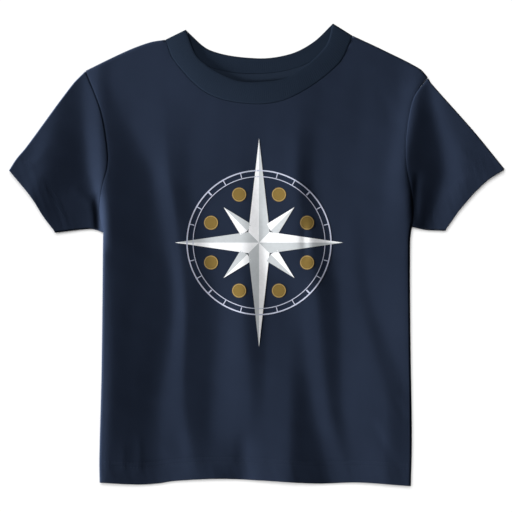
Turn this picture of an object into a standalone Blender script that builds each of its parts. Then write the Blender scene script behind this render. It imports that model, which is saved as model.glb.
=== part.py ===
"""A toddler's short-sleeved crew-neck T-shirt, laid flat with its front up.

It is cut as a front, a back, two set-in sleeves, a ribbed neckband and a tape for the back neck seam.
X runs across the shirt to the wearer's left sleeve, Y runs up to the neck, and Z is up from the table.
The tables below are in millimetres from the middle of the shirt's outline, and the model is in metres.
"""

import math
from collections import namedtuple

import bmesh
import bpy
import numpy as np

MM = 0.001

# Cloth
JERSEY = 1.2
RIB_WALL = 1.5
TAPE_WALL = 1.0
SEAM_GAP = 0.45
NECK_GAP = 0.6
LAYER_GAP = 0.3
CORNER_GAP = 0.6
HEM_DEPTH = 20.0
HEM_EXTRA = 0.4
HEM_STEP = 1.5
HEM_ROWS = 2

# Ribbed neckband
RIB_PITCH = 2.6
RIB_DEPTH = 0.3
BAND_FOLD_GAP = 0.5
BAND_EDGE_LEFT = 5.2
BAND_EDGE_RIGHT = 4.5
BAND_BULGE = 0.3
BAND_ROWS = 2

# Back neck tape
TAPE_WIDTH = 9.0
TAPE_REACH = 0.13

# The cloth rises from the folded edges over this distance, and the layers stay under 4 mm apart.
EDGE_ROUND = 10.0
TALLEST = 3.6

# Mesh density
SHOULDER_COLUMNS = 6
NECK_COLUMNS = 26
ARMHOLE_ROWS = 10
FRONT_SIDE_ROWS = 13
BACK_SIDE_ROWS = 8
SLEEVE_ROWS = 8
FOLD_STEPS = 5
TAPE_COLUMNS = 18
WELD = 0.001
SHARP_ANGLE = math.radians(50)

Point = namedtuple("Point", "across up")

# Where the pieces meet
HEM_LEFT = Point(-157.5, -228.0)
HEM_RIGHT = Point(154.0, -231.5)
UNDERARM_LEFT = Point(-154.0, 22.0)
UNDERARM_RIGHT = Point(155.0, 28.0)
SHOULDER_LEFT = Point(-171.5, 184.0)
SHOULDER_RIGHT = Point(171.0, 177.5)
NECK_LEFT = Point(-92.0, 215.0)
NECK_RIGHT = Point(96.0, 219.0)
TIP_LEFT = Point(-71.5, 225.0)
TIP_RIGHT = Point(76.0, 231.5)
CUFF_TOP_LEFT = Point(-248.0, 84.5)
CUFF_TOP_RIGHT = Point(248.0, 85.5)
CUFF_LOW_LEFT = Point(-201.5, 22.0)
CUFF_LOW_RIGHT = Point(188.0, 24.0)

# Outlines, each a smooth curve through its own few points
HEM = (
    HEM_LEFT,
    Point(-120.0, -230.0),
    Point(-99.0, -229.0),
    Point(-83.0, -226.5),
    Point(-41.0, -224.3),
    Point(7.0, -226.0),
    Point(61.0, -229.0),
    Point(103.0, -228.0),
    HEM_RIGHT,
)
SIDE_LEFT = (HEM_LEFT, Point(-157.8, -205.0), Point(-155.5, -115.0), UNDERARM_LEFT)
SIDE_RIGHT = (HEM_RIGHT, Point(155.0, -185.0), Point(153.5, -75.0), Point(153.3, 14.0), UNDERARM_RIGHT)
ARMHOLE_LEFT = (
    UNDERARM_LEFT,
    Point(-158.0, 43.0),
    Point(-155.0, 67.5),
    Point(-149.3, 89.0),
    Point(-149.8, 110.0),
    Point(-156.0, 144.0),
    SHOULDER_LEFT,
)
ARMHOLE_RIGHT = (
    UNDERARM_RIGHT,
    Point(156.0, 45.0),
    Point(153.0, 68.0),
    Point(148.8, 90.0),
    Point(149.2, 120.0),
    Point(156.5, 157.0),
    SHOULDER_RIGHT,
)
SHOULDER_EDGE_LEFT = (SHOULDER_LEFT, Point(-131.0, 203.5), Point(-107.0, 212.5), NECK_LEFT)
SHOULDER_EDGE_RIGHT = (SHOULDER_RIGHT, Point(163.0, 186.0), Point(127.0, 204.5), NECK_RIGHT)
SLEEVE_TOP_LEFT = (
    CUFF_TOP_LEFT,
    Point(-241.0, 95.5),
    Point(-231.0, 107.5),
    Point(-185.0, 170.0),
    SHOULDER_LEFT,
)
SLEEVE_TOP_RIGHT = (CUFF_TOP_RIGHT, Point(217.0, 123.5), Point(175.0, 171.0), SHOULDER_RIGHT)
SLEEVE_LOW_LEFT = (CUFF_LOW_LEFT, Point(-169.0, 25.7), Point(-162.0, 25.0), UNDERARM_LEFT)
SLEEVE_LOW_RIGHT = (CUFF_LOW_RIGHT, Point(172.0, 24.6), Point(163.0, 26.0), UNDERARM_RIGHT)
CUFF_LEFT = (CUFF_TOP_LEFT, Point(-225.5, 57.0), Point(-213.5, 38.0), CUFF_LOW_LEFT)
CUFF_RIGHT = (CUFF_TOP_RIGHT, Point(228.5, 72.5), Point(205.0, 47.5), CUFF_LOW_RIGHT)
NECK_SEAM_FRONT = (
    NECK_LEFT,
    Point(-83.5, 194.0),
    Point(-50.0, 161.0),
    Point(-5.0, 150.5),
    Point(34.0, 157.0),
    Point(81.0, 190.0),
    NECK_RIGHT,
)
NECK_TOP_FRONT = (
    TIP_LEFT,
    Point(-58.0, 196.0),
    Point(-21.5, 174.8),
    Point(7.0, 173.3),
    Point(33.5, 179.0),
    Point(68.0, 207.5),
    TIP_RIGHT,
)
NECK_SEAM_BACK = (NECK_LEFT, Point(-50.0, 189.0), Point(-7.0, 181.2), Point(43.0, 188.4), NECK_RIGHT)
NECK_TOP_BACK = (
    TIP_LEFT,
    Point(-46.5, 204.7),
    Point(0.0, 196.8),
    Point(33.0, 201.0),
    Point(56.5, 213.0),
    TIP_RIGHT,
)

Sleeve = namedtuple("Sleeve", "name armhole top_edge low_edge cuff shift")

# Each sleeve's edges, and how far its armhole edge stands off the seam line
SLEEVES = (
    Sleeve("left_sleeve", ARMHOLE_LEFT, SLEEVE_TOP_LEFT, SLEEVE_LOW_LEFT, CUFF_LEFT, SEAM_GAP / 2),
    Sleeve("right_sleeve", ARMHOLE_RIGHT, SLEEVE_TOP_RIGHT, SLEEVE_LOW_RIGHT, CUFF_RIGHT, -SEAM_GAP / 2),
)

# The heights up the shirt at which the folds below are given
LEVELS = (200.0, 165.0, 85.0, 55.0, 20.0, -50.0, -150.0, -229.0)
Fold = namedtuple("Fold", "name roundness across rise")
FOLDS = (
    Fold("left_tip_start", 6, (-217, -217, -229, -239, -250, -257, -257, -257),
         (1.6, 1.6, 2.9, 3.1, 3.3, 3.5, 3.3, 2.6)),
    Fold("left_cuff_crest", 7, (-197, -197, -215, -227, -238, -247, -247, -247),
         (2.4, 2.4, 3.6, 3.6, 3.6, 3.5, 3.3, 2.5)),
    Fold("left_sleeve_bend", 6, (-186, -186, -196, -199, -200, -200, -200, -200),
         (1.9, 1.9, 2.5, 2.1, 1.9, 1.8, 1.8, 1.4)),
    Fold("left_sleeve_valley", 5, (-174, -174, -169, -161, -158, -167, -167, -167),
         (1.5, 1.5, 0.6, 0.2, 0.2, 1.7, 1.5, 0.7)),
    Fold("left_armhole_crest", 4, (-158, -158, -154, -154, -155, -149, -149, -153),
         (2.6, 2.9, 3.5, 3.4, 3.5, 3.6, 3.4, 2.3)),
    Fold("left_broad_valley", 6, (-145, -145, -107, -100, -94, -83, -97, -98),
         (2.2, 2.2, 0.2, 0.2, 0.1, 0.0, 0.3, 0.1)),
    Fold("left_sharp_crest", 3, (-92, -92, -89, -84, -79, -72, -73, -59),
         (2.1, 2.1, 1.8, 1.4, 1.2, 1.3, 1.4, 1.5)),
    Fold("left_inner_valley", 7, (-72, -72, -68, -65, -53, -39, -44, -41),
         (2.0, 2.0, 1.0, 0.3, 0.1, 0.0, 0.0, 1.5)),
    Fold("middle_crest", 5, (-42, -42, -12, -11, -11, -13, -7, -14),
         (1.9, 1.9, 1.2, 1.3, 1.3, 1.5, 1.8, 0.1)),
    Fold("middle_valley", 4, (-12, -12, 1, 3, 5, 9, 6, 2),
         (1.8, 1.8, 1.0, 0.8, 0.6, 0.4, 1.5, 1.7)),
    Fold("low_crest", 5, (5, 5, 18, 24, 30, 33, 34, 32),
         (1.7, 1.7, 1.3, 1.5, 1.7, 0.4, 2.2, 2.9)),
    Fold("low_valley", 5, (23, 23, 28, 32, 37, 43, 55, 75),
         (1.6, 1.6, 1.6, 1.8, 2.0, 0.7, 0.8, 0.1)),
    Fold("right_crest", 4, (43, 43, 40, 42, 50, 61, 71, 94),
         (1.5, 1.5, 2.1, 2.2, 2.3, 1.5, 1.7, 0.6)),
    Fold("right_valley", 5, (63, 63, 55, 60, 71, 82, 85, 100),
         (1.2, 1.2, 1.0, 0.9, 0.9, 0.1, 0.9, 0.8)),
    Fold("right_shelf_crest", 5, (88, 88, 88, 91, 95, 105, 130, 130),
         (1.0, 1.0, 1.3, 1.4, 1.5, 1.0, 2.9, 2.1)),
    Fold("right_shelf_valley", 5, (108, 108, 98, 101, 106, 115, 151, 149),
         (0.9, 0.9, 1.4, 1.5, 1.6, 0.7, 2.4, 1.8)),
    Fold("right_bright_start", 6, (145, 145, 131, 129, 128, 129, 152, 151),
         (0.7, 0.9, 2.0, 2.1, 2.2, 1.3, 2.4, 1.8)),
    Fold("right_armhole_crest", 4, (161, 161, 147, 149, 151, 147, 154, 153),
         (0.5, 2.0, 3.5, 3.4, 3.1, 2.2, 2.4, 1.9)),
    Fold("right_sleeve_valley", 5, (173, 173, 187, 180, 172, 180, 180, 180),
         (0.8, 1.2, 0.3, 0.5, 0.7, 2.2, 2.4, 1.9)),
    Fold("right_cuff_crest", 7, (182, 182, 206, 202, 196, 218, 218, 218),
         (1.4, 2.2, 2.0, 1.9, 1.6, 2.9, 3.0, 2.4)),
)

BACK_TOP = JERSEY
FRONT_BASE = BACK_TOP + LAYER_GAP
TAPE_BASE = BACK_TOP + LAYER_GAP
SLEEVE_FOLD_RADIUS = JERSEY + LAYER_GAP / 2
BAND_FOLD_RADIUS = RIB_WALL + BAND_FOLD_GAP / 2

NAVY = (0.018, 0.024, 0.045, 1.0)
RIB_NAVY = (0.016, 0.022, 0.040, 1.0)
TAPE_NAVY = (0.022, 0.029, 0.052, 1.0)
ROUGHNESS = 0.9
SHEEN = 0.2


def smoothstep(share):
    """0 to 1 with a level start and end."""
    share = np.clip(share, 0.0, 1.0)
    return share * share * (3 - 2 * share)


def curve_through(points, steps=24):
    """A smooth curve through the points, as closely spaced points."""
    known = np.array(points, float)
    ends = np.vstack([2 * known[0] - known[1], known, 2 * known[-1] - known[-2]])
    share = np.linspace(0, 1, steps, endpoint=False)[:, None]
    runs = []
    for before, start, end, after in zip(ends, ends[1:], ends[2:], ends[3:]):
        length = np.linalg.norm(end - start)
        leave = (end - before) * length / (np.linalg.norm(start - before) + length)
        arrive = (after - start) * length / (np.linalg.norm(after - end) + length)
        squared, cubed = share**2, share**3
        runs.append(
            (2 * cubed - 3 * squared + 1) * start
            + (cubed - 2 * squared + share) * leave
            + (3 * squared - 2 * cubed) * end
            + (cubed - squared) * arrive
        )
    return np.vstack([*runs, known[-1:]])


def along(curve, shares):
    """The points at these shares of a curve's length."""
    reached = np.concatenate([[0], np.cumsum(np.linalg.norm(np.diff(curve, axis=0), axis=1))])
    at = np.asarray(shares, float) * reached[-1]
    return np.stack([np.interp(at, reached, curve[:, k]) for k in range(2)], axis=-1)


def length_of(curve):
    return float(np.linalg.norm(np.diff(curve, axis=0), axis=1).sum())


def shifted(curve, distance):
    """The curve moved sideways, to the left of its direction of travel."""
    direction = np.gradient(curve, axis=0)
    direction /= np.linalg.norm(direction, axis=1)[:, None]
    return curve + distance * np.stack([-direction[:, 1], direction[:, 0]], axis=1)


def even(count):
    return np.linspace(0, 1, count + 1)


# The edges where the front folds over to the back, so that the cloth lies down there
FOLDED_EDGES = [
    curve_through(points, 6)
    for points in (
        SIDE_LEFT,
        SIDE_RIGHT,
        SHOULDER_EDGE_LEFT,
        SHOULDER_EDGE_RIGHT,
        SLEEVE_TOP_LEFT,
        SLEEVE_TOP_RIGHT,
        SLEEVE_LOW_LEFT,
        SLEEVE_LOW_RIGHT,
    )
]


def distance_to(curve, places):
    """How far each place is from a curve."""
    starts, spans = curve[:-1], np.diff(curve, axis=0)
    offsets = places[:, None, :] - starts
    shares = np.clip((offsets * spans).sum(-1) / (spans**2).sum(-1), 0, 1)
    return np.linalg.norm(offsets - shares[..., None] * spans, axis=-1).min(axis=1)


def at_heights(values, up):
    """A fold's value at each height up the shirt, on a smooth curve through its values at the levels."""
    curve = curve_through(list(zip(LEVELS, values)))[::-1]
    return np.interp(up, curve[:, 0], curve[:, 1])


def ramp(distance, roundness):
    """0 before a fold and the distance past it after, with a rounded start."""
    return (distance + np.hypot(distance, roundness)) / 2


def rise(places):
    """How far the upper layer stands above its lowest height at each place."""
    across, up = places[..., 0].ravel(), places[..., 1].ravel()
    lines = [at_heights(fold.across, up) for fold in FOLDS]
    tops = [at_heights(fold.rise, up) for fold in FOLDS]
    slopes = [(tops[i + 1] - tops[i]) / (lines[i + 1] - lines[i]) for i in range(len(FOLDS) - 1)]
    slopes = [0.0, *slopes, 0.0]
    height = tops[0].copy()
    for i, fold in enumerate(FOLDS):
        height += (slopes[i + 1] - slopes[i]) * ramp(across - lines[i], fold.roundness)
    flat = places.reshape(-1, 2)
    from_edge = np.min([distance_to(curve, flat) for curve in FOLDED_EDGES], axis=0)
    lying = np.clip(height, 0.0, TALLEST) * smoothstep(from_edge / EDGE_ROUND)
    return lying.reshape(places.shape[:-1])


def with_heights(places, heights):
    """Points from places across and up, and their heights."""
    heights = np.broadcast_to(heights, places.shape[:-1])
    return np.concatenate([places, heights[..., None]], axis=-1)


def hem_shares(reach, rows):
    """Where a side's rows lie along it: the hem's edge, its stitch line, and then evenly spaced ones."""
    above_hem = np.linspace((HEM_DEPTH + HEM_STEP) / reach, 1, rows + 1)
    return np.concatenate([[0, HEM_DEPTH / reach], above_hem])


def hemmed_patch(hem, top, left, right):
    """A grid of places [row, column] between four edges, whose first rows run along the hem."""
    u = even(len(hem) - 1)[:, None]
    sides = (1 - u) * left[:, None] + u * right[:, None]
    rows = hem + sides[: HEM_ROWS + 1] - sides[0]
    bottom = rows[-1]
    v = even(len(left) - 1 - HEM_ROWS)[:, None, None]
    bottom_line = (1 - u) * bottom[0] + u * bottom[-1]
    top_line = (1 - u) * top[0] + u * top[-1]
    bowed = (1 - v) * (bottom - bottom_line) + v * (top - top_line)
    return np.concatenate([rows[:-1], sides[HEM_ROWS:] + bowed])


def body_edges(neck_seam, side_rows):
    """A body panel's edges: its hem, its shoulders and neck, and its two sides with their armholes."""
    sides = []
    for side, armhole, shift in (
        (SIDE_LEFT, ARMHOLE_LEFT, -SEAM_GAP / 2),
        (SIDE_RIGHT, ARMHOLE_RIGHT, SEAM_GAP / 2),
    ):
        curve = curve_through(side)
        lower = along(curve, hem_shares(length_of(curve), side_rows))
        upper = along(shifted(curve_through(armhole), shift), even(ARMHOLE_ROWS))
        sides.append(np.vstack([lower[:-1], upper]))
    left, right = sides
    left_shoulder = along(curve_through(SHOULDER_EDGE_LEFT), even(SHOULDER_COLUMNS))
    right_shoulder = along(curve_through(SHOULDER_EDGE_RIGHT), even(SHOULDER_COLUMNS))[::-1]
    neck = along(curve_through(neck_seam), even(NECK_COLUMNS))
    top = np.vstack([left_shoulder[:-1], neck, right_shoulder[1:]])
    top[0], top[-1] = left[-1], right[-1]
    hem = along(curve_through(HEM), even(len(top) - 1))
    return hem, top, left, right


def fold_outward(seam_end, tip):
    """The direction that points up and away from a folded end of the neckband."""
    line = np.array(tip, float) - np.array(seam_end, float)
    line /= np.linalg.norm(line)
    normal = np.array([-line[1], line[0]])
    return normal * np.sign(normal[1])


def outward_of(curve, centre):
    """Unit vectors across a curve, pointing away from the centre."""
    direction = np.gradient(curve, axis=0)
    direction /= np.linalg.norm(direction, axis=1)[:, None]
    normal = np.stack([-direction[:, 1], direction[:, 0]], axis=1)
    return normal * np.sign((normal * (curve - centre)).sum(1))[:, None]


def drawn_in(edge, neighbour, outward, distance):
    """An edge's places moved towards their neighbours, until they lie this far inside the edge."""
    towards = neighbour - edge
    depth = -(towards * outward).sum(1)
    return edge + towards * (distance / depth)[:, None]


def half_turn(starts, ends, outward, radius, top, low):
    """Points round a folded edge from its upper face to its lower one, each given as [row, step]."""
    steps = []
    for angle in np.linspace(0, math.pi, FOLD_STEPS + 1)[1:-1]:
        share = angle / math.pi
        places = (1 - share) * starts + share * ends + outward * radius * math.sin(angle)
        steps.append(with_heights(places, (top + low + (top - low) * math.cos(angle)) / 2))
    return np.stack(steps, axis=1)


def sleeve_rings(layer, rises, outward, inset):
    """Rings round a sleeve, from cuff to armhole; inset is 0 outside, and the cloth's wall inside."""
    radius = SLEEVE_FOLD_RADIUS - inset
    fold_top = FRONT_BASE + JERSEY - inset
    upper = with_heights(layer, fold_top + rises)
    lower = with_heights(layer, inset)[:, ::-1]
    low_fold = half_turn(layer[:, -1], layer[:, -1], outward[1], radius, fold_top, inset)
    top_fold = half_turn(layer[:, 0], layer[:, 0], outward[0], radius, fold_top, inset)[:, ::-1]
    return np.concatenate([upper, low_fold, lower, top_fold], axis=1)


def neck_edge(points, gap, stations):
    """Places along an edge of the neckband, ending short of its folds by their radius."""
    curve = shifted(curve_through(points), gap)
    first, last = curve[1] - curve[0], curve[-1] - curve[-2]
    start = BAND_FOLD_RADIUS * np.linalg.norm(first) / abs(first @ FOLD_OUT_LEFT)
    end = BAND_FOLD_RADIUS * np.linalg.norm(last) / abs(last @ FOLD_OUT_RIGHT)
    reach = length_of(curve)
    return along(curve, np.linspace(start / reach, 1 - end / reach, stations + 1))


def half_band(seam, top):
    """Places on one half of the neckband, from seam to free edge, and how far each is from a fold."""
    both_lengths = length_of(curve_through(seam)) + length_of(curve_through(top))
    stations = 2 * round(both_lengths / 2 / RIB_PITCH)
    lower, upper = neck_edge(seam, NECK_GAP, stations), neck_edge(top, 0.0, stations)
    across = even(BAND_ROWS)[:, None, None]
    reach = (length_of(lower) + length_of(upper)) / 2
    from_end = np.minimum(even(stations), 1 - even(stations)) * reach
    return (1 - across) * lower + across * upper, from_end


def ribs(from_end):
    """The rise of each place along the ribbing: every other one is a rib."""
    crest = np.arange(len(from_end)) % 2
    return RIB_DEPTH * crest * smoothstep(from_end / RIB_PITCH / 2)


def neckband_rings(inset):
    """Rings round the neckband, from seam to free edge; inset is 0 outside, and its wall inside."""
    front, front_from_end = half_band(NECK_SEAM_FRONT, NECK_TOP_FRONT)
    back, back_from_end = half_band(NECK_SEAM_BACK, NECK_TOP_BACK)
    fold_top = 2 * BAND_FOLD_RADIUS
    across = even(BAND_ROWS)[:, None]
    seam_top = FRONT_BASE + rise(front) + RIB_WALL
    edge_top = np.linspace(BAND_EDGE_LEFT, BAND_EDGE_RIGHT, front.shape[1])
    rolled = (1 - across) * seam_top + across * edge_top + BAND_BULGE * np.sin(math.pi * across)
    upper = np.maximum(rolled, fold_top) - inset
    lower = np.full(len(back_from_end), inset)
    if inset:
        lower = lower + ribs(back_from_end)
    else:
        upper = upper + ribs(front_from_end)
    radius = BAND_FOLD_RADIUS - inset
    right_fold = half_turn(front[:, -1], back[:, -1], FOLD_OUT_RIGHT, radius, upper[:, -1], inset)
    left_fold = half_turn(front[:, 0], back[:, 0], FOLD_OUT_LEFT, radius, upper[:, 0], inset)[:, ::-1]
    parts = [with_heights(front, upper), right_fold, with_heights(back, lower)[:, ::-1], left_fold]
    return np.concatenate(parts, axis=1)


def fabric(name, colour):
    material = bpy.data.materials.new(name)
    material.use_nodes = True
    shader = material.node_tree.nodes["Principled BSDF"]
    shader.inputs["Base Color"].default_value = colour
    shader.inputs["Roughness"].default_value = ROUGHNESS
    shader.inputs["Metallic"].default_value = 0.0
    shader.inputs["Sheen Weight"].default_value = SHEEN
    material.diffuse_color = colour
    return material


def add_object(name, data, material):
    data.materials.append(material)
    made = bpy.data.objects.new(name, data)
    shirt.objects.link(made)
    return made


def add_mesh(name, bm, material):
    """An object from a closed mesh in millimetres."""
    bmesh.ops.recalc_face_normals(bm, faces=bm.faces)
    bmesh.ops.scale(bm, vec=(MM, MM, MM), verts=bm.verts)
    mesh = bpy.data.meshes.new(name)
    bm.to_mesh(mesh)
    bm.free()
    mesh.shade_smooth()
    mesh.set_sharp_from_angle(angle=SHARP_ANGLE)
    add_object(name, mesh, material)


def grid(points):
    """A surface through points given as [row, column]."""
    rows, columns = points.shape[0] - 1, points.shape[1] - 1
    bm = bmesh.new()
    bmesh.ops.create_grid(bm, x_segments=columns, y_segments=rows, size=1.0)
    for vert in bm.verts:
        column = round((vert.co.x + 1) / 2 * columns)
        row = round((vert.co.y + 1) / 2 * rows)
        vert.co = points[row, column]
    return bm


def add_ring_piece(name, outer, inner, material):
    """The wall of a flattened tube, from the rings of its outside and of its inside."""
    rings = np.concatenate([outer, inner[::-1], outer[:1]])
    bm = grid(np.concatenate([rings, rings[:, :1]], axis=1))
    bmesh.ops.remove_doubles(bm, verts=bm.verts, dist=WELD)
    add_mesh(name, bm, material)


def add_flat_piece(name, outline, base, wall, material):
    """A piece of cloth that lies flat, from its outline."""
    curve = bpy.data.curves.new(name, "CURVE")
    curve.dimensions = "2D"
    curve.fill_mode = "BOTH"
    curve.extrude = wall / 2 * MM
    spline = curve.splines.new("POLY")
    spline.points.add(len(outline) - 1)
    for point, (across, up) in zip(spline.points, outline):
        point.co = (across * MM, up * MM, 0.0, 1.0)
    spline.use_cyclic_u = True
    made = add_object(name, curve, material)
    made.location.z = (base + wall / 2) * MM


def add_front(material):
    """The front, which lies on the back and takes the shirt's folds."""
    places = hemmed_patch(*body_edges(NECK_SEAM_FRONT, FRONT_SIDE_ROWS))
    bm = grid(with_heights(places, FRONT_BASE + rise(places)))
    wall = bm.verts.layers.float.new("wall")
    from_hem = distance_to(curve_through(HEM), np.array([vert.co[:2] for vert in bm.verts]))
    for vert, distance in zip(bm.verts, from_hem):
        vert[wall] = JERSEY + (HEM_EXTRA if distance < HEM_DEPTH + HEM_STEP / 2 else 0.0)
    raised = bmesh.ops.extrude_face_region(bm, geom=list(bm.faces), use_keep_orig=True)
    for item in raised["geom"]:
        if isinstance(item, bmesh.types.BMVert):
            item.co.z += item[wall]
    add_mesh("front_panel", bm, material)


def add_back(material):
    """The back, flat on the table."""
    hem, top, left, right = body_edges(NECK_SEAM_BACK, BACK_SIDE_ROWS)
    outline = np.vstack([hem[:-1], right[:-1], top[:0:-1], left[:0:-1]])
    add_flat_piece("back_panel", outline, 0.0, JERSEY, material)


def add_sleeve(piece, material):
    """A short sleeve: a tube folded flat, open at the armhole and at the cuff."""
    armhole = along(shifted(curve_through(piece.armhole), piece.shift), even(ARMHOLE_ROWS))[::-1]
    cuff = along(curve_through(piece.cuff), even(ARMHOLE_ROWS))
    edges = []
    for edge in (piece.top_edge, piece.low_edge):
        curve = curve_through(edge)
        reach = length_of(curve)
        edges.append(along(curve, hem_shares(reach, SLEEVE_ROWS) * (1 - CORNER_GAP / reach)))
    top_edge, low_edge = edges
    armhole[0], armhole[-1] = top_edge[-1], low_edge[-1]
    layer = hemmed_patch(cuff, armhole, top_edge, low_edge)
    centre = layer.reshape(-1, 2).mean(axis=0)
    outward = outward_of(top_edge, centre), outward_of(low_edge, centre)
    layer[:, 0] = drawn_in(layer[:, 0], layer[:, 1], outward[0], SLEEVE_FOLD_RADIUS)
    layer[:, -1] = drawn_in(layer[:, -1], layer[:, -2], outward[1], SLEEVE_FOLD_RADIUS)
    rises = rise(layer)
    rises[:, 0] = rises[:, -1] = 0.0
    outer = sleeve_rings(layer, rises + hem_extra(layer), outward, 0.0)
    inner = sleeve_rings(layer, rises, outward, JERSEY)
    add_ring_piece(piece.name, outer, inner, material)


def hem_extra(layer):
    """How much thicker a sleeve is at each place of its upper layer, because of the turned hem."""
    extra = np.zeros(layer.shape[:2])
    extra[:HEM_ROWS, 1:-1] = HEM_EXTRA
    return extra


def add_neckband(material):
    """A ring of ribbed cloth folded flat, with its front half on its back half."""
    add_ring_piece("neckband", neckband_rings(0.0), neckband_rings(RIB_WALL), material)


def add_tape(material):
    """The tape over the back neck seam, on the inside of the back."""
    seam = curve_through(NECK_SEAM_BACK)
    shares = np.linspace(TAPE_REACH, 1 - TAPE_REACH, TAPE_COLUMNS + 1)
    lower = along(shifted(seam, -SEAM_GAP - TAPE_WIDTH), shares)
    upper = along(shifted(seam, -SEAM_GAP), shares)
    add_flat_piece("neck_tape", np.vstack([lower, upper[::-1]]), TAPE_BASE, TAPE_WALL, material)


FOLD_OUT_LEFT = fold_outward(NECK_LEFT, TIP_LEFT)
FOLD_OUT_RIGHT = fold_outward(NECK_RIGHT, TIP_RIGHT)

for existing in list(bpy.data.objects):
    bpy.data.objects.remove(existing)
shirt = bpy.data.collections.new("toddler_t_shirt")
bpy.context.scene.collection.children.link(shirt)

jersey = fabric("navy_jersey", NAVY)
add_back(jersey)
add_front(jersey)
for row in SLEEVES:
    add_sleeve(row, jersey)
add_neckband(fabric("navy_rib", RIB_NAVY))
add_tape(fabric("navy_tape", TAPE_NAVY))
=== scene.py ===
"""The looks of a toddler's navy jersey T-shirt, laid flat with its front up and seen from straight above.

Each cloth piece is a finer mesh of its solid's form, from the same tables in millimetres. Stitches and a
printed rose lie on them. The light rakes across the shirt from the photo's left, to show the folds.
"""

import math
from collections import namedtuple

import bmesh
import bpy
import numpy as np
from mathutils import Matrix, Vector


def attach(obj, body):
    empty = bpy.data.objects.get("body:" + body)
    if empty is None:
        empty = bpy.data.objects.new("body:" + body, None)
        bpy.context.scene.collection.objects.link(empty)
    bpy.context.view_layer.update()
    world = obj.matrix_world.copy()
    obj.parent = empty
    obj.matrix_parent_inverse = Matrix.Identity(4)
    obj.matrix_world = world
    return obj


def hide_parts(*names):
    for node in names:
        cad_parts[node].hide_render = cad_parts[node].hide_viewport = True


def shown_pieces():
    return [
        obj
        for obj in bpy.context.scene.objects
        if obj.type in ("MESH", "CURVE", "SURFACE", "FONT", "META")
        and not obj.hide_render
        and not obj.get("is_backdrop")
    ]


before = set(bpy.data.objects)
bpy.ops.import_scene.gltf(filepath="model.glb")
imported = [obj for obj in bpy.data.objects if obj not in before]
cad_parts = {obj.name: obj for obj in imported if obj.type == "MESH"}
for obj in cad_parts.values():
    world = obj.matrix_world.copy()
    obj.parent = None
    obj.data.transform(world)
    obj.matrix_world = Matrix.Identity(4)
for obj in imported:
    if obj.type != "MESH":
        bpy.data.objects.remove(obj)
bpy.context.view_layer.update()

MM = 0.001

# Walls and the gaps between pieces, in millimetres like every size with no other unit named
JERSEY = 1.2
RIB_WALL = 1.5
TAPE_WALL = 0.6
LAYER_GAP = 0.3
SEAM_GAP = 0.06
CORNER_GAP = 0.2
NECK_GAP_FRONT = 0.45
NECK_GAP_BACK = 0.12

# The neck gaps keep this share at the folded ends, and open over this share of the seam
NECK_GAP_AT_ENDS = 0.25
NECK_GAP_SPREAD = 0.1

# How finely curves are followed, and how many places are measured to a curve at a time
CURVE_STEPS = 24
EDGE_STEPS = 8
LINE_STEPS = 10
PLACES_AT_A_TIME = 4000

# The front's lowest inner face, its tallest fold, and the folded edges
FRONT_BASE = JERSEY + LAYER_GAP
TALLEST = 3.6
RIM = 1.0
RIM_STEPS = 5
FOLD_STEPS = 10
SLEEVE_FOLD_RADIUS = JERSEY + LAYER_GAP / 2
BAND_FOLD_RADIUS = RIB_WALL + 0.25

# The hems' fine rows reach a little past the twin stitch lines
HEM_ZONE = 26.0
HEM_PITCH = 1.1
HEM_ROWS = len(np.arange(0, HEM_ZONE, HEM_PITCH))
SLEEVE_HEM_SHARE = 0.62
HEM_EXTRA = 0.05
HEM_EDGE = 23.5
HEM_FADE = 8.0

# How finely the pieces are cut; front, back and sleeves share their rows along the armholes
Grid = namedtuple("Grid", "side_rows shoulder_columns neck_columns")
FRONT_GRID = Grid(92, 28, 100)
BACK_GRID = Grid(40, 14, 60)
ARMHOLE_ROWS = 72
SLEEVE_ROWS = 44
BAND_ROWS = 11
TAPE_ROWS = 12
TAPE_COLUMNS = 120

# Grooves that the sewing draws into the upper face
Groove = namedtuple("Groove", "depth width")
STITCH_LINES = (17.0, 21.5)
HEM_GROOVE = Groove(0.14, 0.8)
CUFF_GROOVE = Groove(0.008, 0.8)
BACK_GROOVE = Groove(0.12, 0.9)
ARMHOLE_GROOVE = Groove(0.07, 0.7)
SEAM_DROP_WIDTH = 1.5
NECK_TUCK = Groove(0.05, 1.2)
NECK_TUCKS = 74

# Slight puckers along the hems, as waves that run across the shirt
Pucker = namedtuple("Pucker", "pitch size start")
PUCKERS = (Pucker(7.3, 1.0, 0.0), Pucker(11.9, 0.8, 1.1), Pucker(23.0, 0.9, 0.4))
PUCKER_RUN = (0.92, 0.31)
PUCKER_HEIGHT = 0.012
PUCKER_REACH = 27.0
PUCKER_FADE = 9.0

# The ribbed neckband: heights of its free edge above the table, and where that edge rolls over
RIB_PITCH = 2.1
RIB_STEPS = 6
RIB_DEPTH = 0.08
BAND_EDGE_LEFT = 5.4
BAND_EDGE_RIGHT = 3.9
BAND_BULGE = 0.3
SEAM_DROP_LEFT = -0.2
SEAM_RISE_RIGHT = 0.03
ROLL_ROWS = (0.985, 1.0)
BEFORE_ROLL = 0.96
ROLL_START = 0.955
ROLL_DEPTH = 0.35

# The neck tape starts and ends this share along the seam, and its stitch lines are shares of its width
TAPE_WIDTH = 9.0
TAPE_REACH = 0.13
TAPE_CROWN = 0.12
TAPE_CROWN_POWER = 0.6
TAPE_STITCHES = (0.16, 0.84)
TAPE_GROOVE = Groove(0.08, 0.05)
TAPE_TUCK = 0.02
TAPE_TUCK_TURN = 2.1

# How close two points are merged, in metres, and the rounding of the walls' cut rims
MERGE_DISTANCE = 0.000001
WALL_ROUNDING = 0.4
BAND_ROUNDING = 0.25
TAPE_ROUNDING = 0.2
SHARP_DEGREES = 55

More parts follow.
